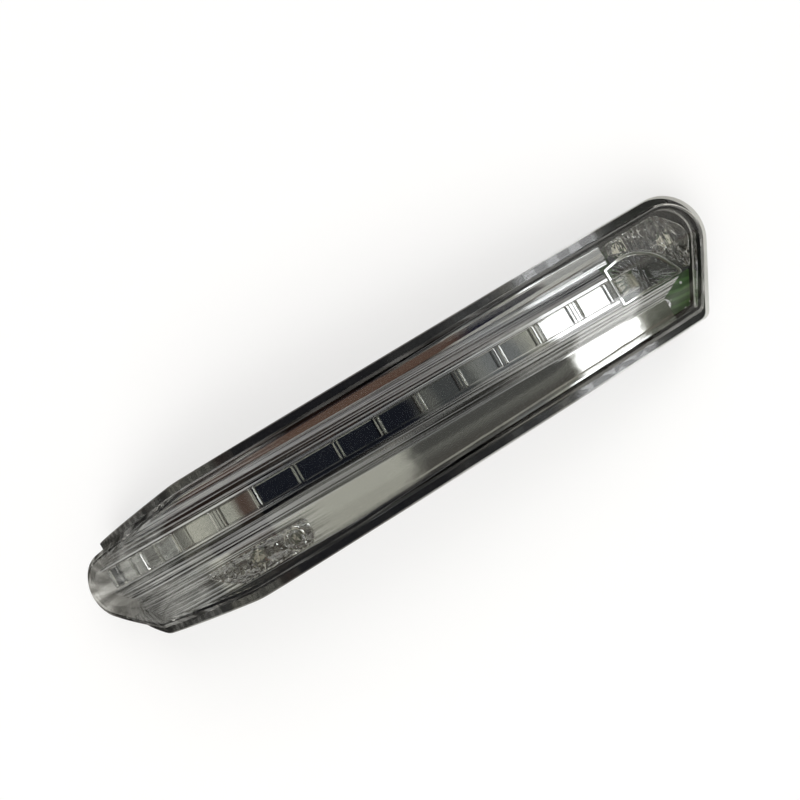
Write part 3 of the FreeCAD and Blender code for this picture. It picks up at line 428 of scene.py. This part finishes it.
def finish_nodes():
    """Every CAD node's material, by the start of its name."""
    coarse = {"grain": 0.0009, "cell": 500.0, "bevels": 0.0006, "facets": 420.0}
    fine = {"grain": 0.0007, "cell": 650.0, "bevels": 0.0005, "facets": 620.0}
    black, dark_grey = (0.012, 0.012, 0.012), (0.03, 0.03, 0.032)
    shield_low, shield_high = (0.010, 0.010, 0.011), (0.024, 0.024, 0.026)
    return {
        "outer_lens": clear_plastic("clear_lens_finish"),
        "rear_housing": black_plastic("black_housing_finish"),
        "chrome_reflector": chrome("chrome_trim_finish"),
        "nose_coupler": clear_plastic("coupler_finish", **coarse),
        "end_coupler": clear_plastic("collimator_finish", **fine),
        "main_board": board("board_finish"),
        "nose_board": board("nose_board_finish"),
        "led": cased("led_case_finish", (0.80, 0.76, 0.60), (0.88, 0.85, 0.72), 0.2, scale=700.0),
        "light_shield": cased("shield_finish", shield_low, shield_high, 0.22, scale=1200.0),
        "driver_chip": cased("black_case_finish", black, dark_grey, 0.45, scale=2400.0),
        "resistor": cased("resistor_finish", (0.01, 0.01, 0.011), (0.025, 0.025, 0.027), 0.3, scale=2400.0),
        "capacitor": cased("ceramic_case_finish", (0.30, 0.21, 0.12), (0.42, 0.31, 0.19), 0.45, scale=1500.0),
        "diode": cased("diode_finish", black, dark_grey, 0.5, scale=2400.0),
        "terminal": cased("pin_metal_finish", (0.66, 0.54, 0.28), (0.78, 0.66, 0.38), 0.2, 1.0),
        "flex_link": cased("flex_film_finish", (0.35, 0.13, 0.02), (0.48, 0.20, 0.035), 0.3, scale=300.0),
        "board_screw": cased("screw_metal_finish", (0.5, 0.5, 0.5), (0.66, 0.66, 0.67), 0.25, 1.0),
        "vent_membrane": cased("membrane_finish", (0.62, 0.62, 0.61), (0.76, 0.76, 0.75), 0.7, scale=4000.0),
    }


class LAMP_OT_finishes(bpy.types.Operator):
    """Puts a procedural material on every CAD node"""

    bl_idname = "lamp.finishes"
    bl_label = "Finish the CAD nodes"

    def execute(self, context):
        finishes = finish_nodes()
        for name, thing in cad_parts.items():
            kind = name.rstrip("_0123456789")
            if kind in finishes:
                thing.data.materials.clear()
                thing.data.materials.append(finishes[kind])
        return {"FINISHED"}


def window_gap(run):
    """Length along the guide's front to the nearest groove's middle."""
    s = sizes()
    pitch = np.where(run >= 0, s.window_pitch * s.main_radius / (s.main_radius + s.guide_front),
                     s.window_pitch * s.nose_radius / (s.nose_radius + s.guide_front))
    phase = run / pitch
    return np.abs(phase - np.round(phase)) * s.window_pitch


def groove_share(run):
    """Share of the full groove depth: 1 within the foot, 0 outside the groove, straight walls between."""
    s = sizes()
    wall = (s.groove_width - s.groove_foot) / 2
    return np.clip((s.groove_width / 2 - window_gap(run)) / wall, 0.0, 1.0)


def guide_front_height(run, across):
    """Height of the guide's front over the flange line, by arc length and by the place across from -1 to 1.

    A crown of 1 minus the square of the place across, and a pillow of fourth powers in each window, less the
    groove.
    """
    s = sizes()
    half = s.window_pitch / 2
    middle = np.clip(1.0 - ((half - window_gap(run)) / (half - s.groove_width / 2)) ** 4, 0.0, 1.0)
    return (s.guide_front + s.guide_bulge * (1 - across ** 2) + s.pillow * middle * (1 - across ** 4)
            - s.groove_depth * groove_share(run))


def guide_bar():
    """The guide's bar: its front over a flat underside, carried along the flange line.

    Towards both edges the front drops by nearly a quarter circle. The groove's walls and those rounds mirror.
    """
    s = sizes()
    start = -math.radians(s.guide_nose_angle) * s.nose_radius
    stop = math.asin(s.guide_end / (s.main_radius + s.guide_front)) * s.main_radius
    run = np.linspace(start, stop, 900)
    across = np.linspace(-1.0, 1.0, 17)
    width = s.guide_width / 2
    edge = 1.0 - s.edge_round / width
    over = np.clip((np.abs(across) - edge) / (1 - edge), 0.0, 1.0)
    front = guide_front_height(run[:, None], across[None, :])
    front = front - s.edge_round * (1 - np.sqrt(1 - over ** 2 * 0.98))[None, :]
    level = np.concatenate([front, np.full((len(run), 2), s.guide_floor)], axis=1)
    side = np.concatenate([across, [1.0, -1.0]]) * width + s.guide_y
    spot, normal = along_flange(run)
    x = spot[:, None, 0] + normal[:, None, 0] * level
    z = spot[:, None, 1] + normal[:, None, 1] * level
    rings = np.stack([x, np.broadcast_to(side, x.shape), z], axis=-1)
    bar = tube("barred_light_guide", rings[:, ::-1])
    cut = groove_share(run)
    walls = np.maximum((4 * cut * (1 - cut))[:, None], (over > 0.2)[None, :]) * s.edge_mirror
    mark_edges(bar, np.concatenate([walls, np.zeros((len(run), 2))], axis=1)[:, ::-1])
    return bar


def guide_leg():
    """The guide's leg: a square with corners rounded by an eighth power, raised straight off the board."""
    s = sizes()
    angle = math.asin(s.board_x / s.board_radius)
    radius = s.board_radius + np.array([[s.leg_low], [s.leg_high]])
    turn = np.radians(np.arange(0, 360, 10.0))
    square = np.stack([np.cos(turn), np.sin(turn)])
    square = square / (np.abs(square) ** 8).sum(axis=0) ** 0.125
    along = s.leg_x + square[0] * s.leg_length / 2
    y = s.guide_y + square[1] * s.leg_width / 2
    x = s.joint_x + radius * math.sin(angle) + along * math.cos(angle)
    z = s.crest_z + radius * math.cos(angle) - s.main_radius - along * math.sin(angle)
    leg = tube("guide_leg", np.stack([x, np.broadcast_to(y, x.shape), z], axis=-1))
    mark_edges(leg, np.zeros(x.shape))
    return leg


class LAMP_OT_guide(bpy.types.Operator):
    """Builds the barred light guide with its flat windows and its leg, in place of the plain bar"""

    bl_idname = "lamp.guide"
    bl_label = "Light guide"

    def execute(self, context):
        finish = clear_plastic("clear_guide_finish", edges=True)
        piece(guide_bar(), "clear_guide", finish, "light_guide")
        piece(guide_leg(), "clear_guide", finish)
        return {"FINISHED"}


LOBE = (
    # corners, as X from the joint, Y and the radius of the round
    (110.4, -1.6, 0.4),
    (130.4, -1.6, 1.2),
    (125.8, 6.7, 12.0),
    (118.6, 10.9, 11.0),
    (110.4, 9.3, 0.4),
)


def rounded_outline(corners, steps):
    """A closed outline whose corners are blended.

    Each corner is the curve (1 - t) squared times its start, plus 2 t (1 - t) times the corner, plus t
    squared times its end, with start and end where an arc of the corner's radius would touch both sides.
    """
    at = np.array([corner[:2] for corner in corners])
    radius = np.array([corner[2] for corner in corners])
    back = np.roll(at, 1, axis=0) - at
    on = np.roll(at, -1, axis=0) - at
    back /= np.linalg.norm(back, axis=1, keepdims=True)
    on /= np.linalg.norm(on, axis=1, keepdims=True)
    half = np.arccos(np.clip((back * on).sum(axis=1), -1, 1)) / 2
    reach = (radius / np.tan(half))[:, None]
    t = np.linspace(0.0, 1.0, steps)[None, :, None]
    first, last = (at + back * reach)[:, None], (at + on * reach)[:, None]
    return ((1 - t) ** 2 * first + 2 * t * (1 - t) * at[:, None] + t ** 2 * last).reshape(-1, 2)


def evenly(outline, count):
    """The closed outline again, as points at equal lengths along it."""
    closed = np.vstack([outline, outline[:1]])
    length = np.concatenate([[0.0], np.cumsum(np.linalg.norm(np.diff(closed, axis=0), axis=1))])
    wanted = np.linspace(0.0, length[-1], count, endpoint=False)
    return np.stack([np.interp(wanted, length, closed[:, i]) for i in (0, 1)], axis=-1)


def end_lobe():
    """The lobe at the guide's end: its outline drawn in step by step over the curved flange.

    The recess inside the rim is fluted: the height drops by the absolute sine of the turn round the lobe.
    """
    s = sizes()
    outline = evenly(rounded_outline(LOBE, 24), 360)
    middle = outline.mean(axis=0)
    reach = np.linalg.norm(outline - middle, axis=1, keepdims=True)
    turn = np.linspace(0.0, 2 * np.pi, len(outline), endpoint=False)
    flute = s.lobe_flute_depth * np.abs(np.sin(turn * s.lobe_flutes / 2))
    low = s.lobe_front - s.lobe_recess
    edge, rim = s.lobe_edge, s.lobe_rim
    steps = [(0.0, s.lobe_floor, 0.0), (0.0, s.lobe_front - edge, 0.0), (edge, s.lobe_front, 0.0),
             (rim - edge, s.lobe_front, 0.0), (rim, s.lobe_front - edge, 0.0), (rim + edge, low, 0.3)]
    steps += [(rim + edge + inner, low, 1.0) for inner in (0.5, 1.0, 1.6, 2.2, 2.8, 3.4)]
    rings, shine = [], []
    for inset, level, fluted in steps:
        shine.append(np.full(len(outline), s.edge_mirror if level > low and inset > 0 else 0.0))
        x, y = (middle + (outline - middle) * np.clip(1 - inset / reach, 0.05, 1.0)).T
        z = s.crest_z - s.main_radius + np.sqrt((s.main_radius + level - fluted * flute) ** 2 - x ** 2)
        rings.append(np.stack([s.joint_x + x, y, z], axis=-1))
    lobe = tube("end_lobe", np.array(rings))
    mark_edges(lobe, np.array(shine))
    return lobe


class LAMP_OT_lobe(bpy.types.Operator):
    """Builds the clear lobe at the guide's end, with its raised rim and fluted recess"""

    bl_idname = "lamp.lobe"
    bl_label = "End lobe"

    def execute(self, context):
        piece(end_lobe(), "clear_guide", clear_plastic("lobe_finish", edges=True))
        return {"FINISHED"}


PANELS = (
    # edges along X and along Y, as slopes from straight up, then softness and colour
    (-1.50, -0.85, -99.0, 99.0, 0.10, (0.80, 0.78, 0.66)),
    (-99.0, -1.50, -99.0, 99.0, 0.20, (0.20, 0.20, 0.18)),
    (-99.0, 99.0, -99.0, -1.1, 0.25, (0.17, 0.14, 0.11)),
    (-99.0, 99.0, 0.78, 99.0, 0.12, (0.15, 0.085, 0.062)),
    (0.60, 1.00, 0.85, 99.0, 0.05, (0.008, 0.010, 0.028)),
    (1.00, 99.0, 0.85, 99.0, 0.05, (0.55, 0.55, 0.53)),
    (0.30, 0.44, -0.14, 0.80, 0.04, (0.11, 0.115, 0.115)),
    (0.44, 0.56, -0.14, 0.80, 0.03, (0.30, 0.31, 0.31)),
    (-0.14, 0.30, -0.14, 0.80, 0.04, (0.018, 0.021, 0.030)),
    (-0.34, -0.14, -0.14, 0.80, 0.06, (0.16, 0.11, 0.09)),
    (0.22, 0.69, -0.80, -0.14, 0.03, (0.105, 0.105, 0.095)),
    (-0.85, -0.11, -1.20, -0.14, 0.03, (0.12, 0.095, 0.08)),
    (0.64, 0.95, -0.15, 0.12, 0.02, (4.0, 4.05, 4.1)),
    (0.70, 0.95, -0.60, -0.15, 0.02, (4.0, 4.0, 3.9)),
    (0.98, 1.60, -0.60, 0.60, 0.05, (0.12, 0.13, 0.10)),
)


def room(name):
    """The studio's surroundings: pale, with soft panels overhead that plating and windows mirror."""
    world = bpy.data.worlds.new(name)
    n = Tree(world)
    view = n.fill(n.add("ShaderNodeSeparateXYZ"), Vector=n.add("ShaderNodeTexCoord").outputs["Generated"])
    up = n.math_of("MAXIMUM", view.outputs["Z"], 0.01)
    slopes = [n.math_of("DIVIDE", view.outputs[axis], up) for axis in ("X", "Y")]
    shade = colours().room[:]
    for left, right, near, far, soft, tint in PANELS:
        inside = 1.0
        for slope, low, high in ((slopes[0], left, right), (slopes[1], near, far)):
            past_low = n.spread(slope, low - soft, low + soft, way="SMOOTHSTEP")
            past_high = n.spread(slope, high - soft, high + soft, way="SMOOTHSTEP")
            inside = n.times(n.times(inside, past_low), n.rest_of(past_high))
        shade = n.mixed(inside, shade, tint)
    n.link(shade, n.tree.nodes["Background"].inputs["Color"])
    return world


def pale_floor(name):
    """Matt white that shows its shadows at less than half strength to the camera."""
    n = Finish(name)
    n.base(Base_Color=n.ramp(n.noise(3.0), (0.0, 0.93), (1.0, 0.95)), Roughness=0.9)
    seen = n.add("ShaderNodeLightPath").outputs["Is Camera Ray"]
    n.blend(n.times(seen, 0.6), n.add("ShaderNodeEmission"))
    return n.material


def streaked_card(name):
    """Grey card with fine streaks, round and under the lamp, that only its clear and plated parts show.

    The streaks run up the two end cards and along the one below. Its end under the board and the card past
    the nose are paler, and the two long side cards are darker.
    """
    n = Finish(name)
    streaks = n.noise(170.0, 3.0, (0.03, 1.0, 0.12))
    x = n.place_along("X")
    pale = n.plus(n.spread(x, 0.05, 0.085, 0.0, 0.45), n.spread(x, -0.215, -0.2, 0.10, 0.0))
    aside = n.math_of("ABSOLUTE", n.place_along("Y"))
    pale = n.plus(pale, n.spread(aside, 0.16, 0.168, 0.0, -0.2))
    greys = (0.36, (0.025, 0.025, 0.023)), (0.5, (0.24, 0.235, 0.22)), (0.64, (0.78, 0.78, 0.75))
    n.base(Base_Color=n.ramp(n.plus(streaks, pale), *greys), Roughness=0.9)
    return n.material


def lay_floor(studio):
    """A floor far wider than the view, at the height that the part rests on."""
    half = studio.floor_half
    corners = [(-half, -half, 0), (half, -half, 0), (half, half, 0), (-half, half, 0)]
    floor = make_mesh("floor", corners, [(0, 1, 2, 3)])
    floor.data.materials.append(pale_floor("floor_finish"))


def stand_cards(studio):
    """An open box of cards round and under the lamp, which the camera and the shadows pass over."""
    x, y = studio.cards_half_x, studio.cards_half_y
    corners = [(a, b, z) for z in (studio.cards_low, studio.cards_high)
               for a, b in ((-x, -y), (x, -y), (x, y), (-x, y))]
    sides = [(i, (i + 1) % 4, (i + 1) % 4 + 4, i + 4) for i in range(4)]
    cards = make_mesh("cards", corners, sides + [(0, 1, 2, 3)])
    cards.data.materials.append(streaked_card("card_finish"))
    for kind in ("camera", "shadow", "diffuse"):
        setattr(cards, f"visible_{kind}", False)


def hang_lamp(name, spot, power, side):
    """A soft square lamp at a place in metres, turned to the origin and not mirrored in the part."""
    data = bpy.data.lights.new(name, "AREA")
    data.size = side * MM
    data.energy = power
    lamp = bpy.data.objects.new(name, data)
    lamp.location = spot
    lamp.rotation_euler = (-Vector(spot)).to_track_quat("-Z", "Y").to_euler()
    lamp.visible_glossy = False
    lamp.visible_transmission = False
    bpy.context.scene.collection.objects.link(lamp)


def set_camera(studio):
    """The camera, looking straight down on the lamp."""
    data = bpy.data.cameras.new("camera")
    data.lens = studio.camera_lens
    data.clip_start = 0.01
    camera = bpy.data.objects.new("camera", data)
    camera.location = (studio.camera_x * MM, studio.camera_y * MM, studio.camera_z * MM)
    camera.rotation_euler = (0.0, 0.0, math.radians(studio.camera_turn))
    bpy.context.scene.collection.objects.link(camera)
    bpy.context.scene.camera = camera


class LAMP_OT_studio(bpy.types.Operator):
    """Sets the pale floor, the cards, the soft lamps and the camera over the lamp"""

    bl_idname = "lamp.studio"
    bl_label = "Studio"

    def execute(self, context):
        studio = context.scene.lamp_studio
        context.scene.view_settings.view_transform = "Standard"
        lay_floor(studio)
        stand_cards(studio)
        hang_lamp("key_lamp", (-0.5, -0.7, 1.4), studio.key_power, studio.lamp_side)
        hang_lamp("fill_lamp", (0.5, 0.8, 1.3), studio.fill_power, studio.lamp_side)
        context.scene.world = room("studio_room")
        set_camera(studio)
        return {"FINISHED"}


class LAMP_PT_panel(bpy.types.Panel):
    """The lamp's steps, sizes, colours and studio"""

    bl_label = "Lamp"
    bl_idname = "LAMP_PT_panel"
    bl_space_type = "VIEW_3D"
    bl_region_type = "UI"
    bl_category = "Lamp"

    def draw(self, context):
        for step in STEPS:
            self.layout.operator(step.bl_idname)
        for group in GROUPS:
            for name in GROUPS[group].__annotations__:
                self.layout.prop(getattr(context.scene, group), name)


GROUPS = {"lamp_sizes": LampSizes, "lamp_colours": LampColours, "lamp_studio": LampStudio}
STEPS = (LAMP_OT_finishes, LAMP_OT_guide, LAMP_OT_lobe, LAMP_OT_studio)
CLASSES = (*GROUPS.values(), *STEPS, LAMP_PT_panel)


def register():
    for item in CLASSES:
        bpy.utils.register_class(item)
    for name, group in GROUPS.items():
        setattr(bpy.types.Scene, name, bpy.props.PointerProperty(type=group))


def unregister():
    for name in GROUPS:
        delattr(bpy.types.Scene, name)
    for item in reversed(CLASSES):
        bpy.utils.unregister_class(item)


def main():
    register()
    bpy.ops.lamp.finishes()
    bpy.ops.lamp.guide()
    bpy.ops.lamp.lobe()
    bpy.ops.lamp.studio()


if __name__ == "__main__":
    main()
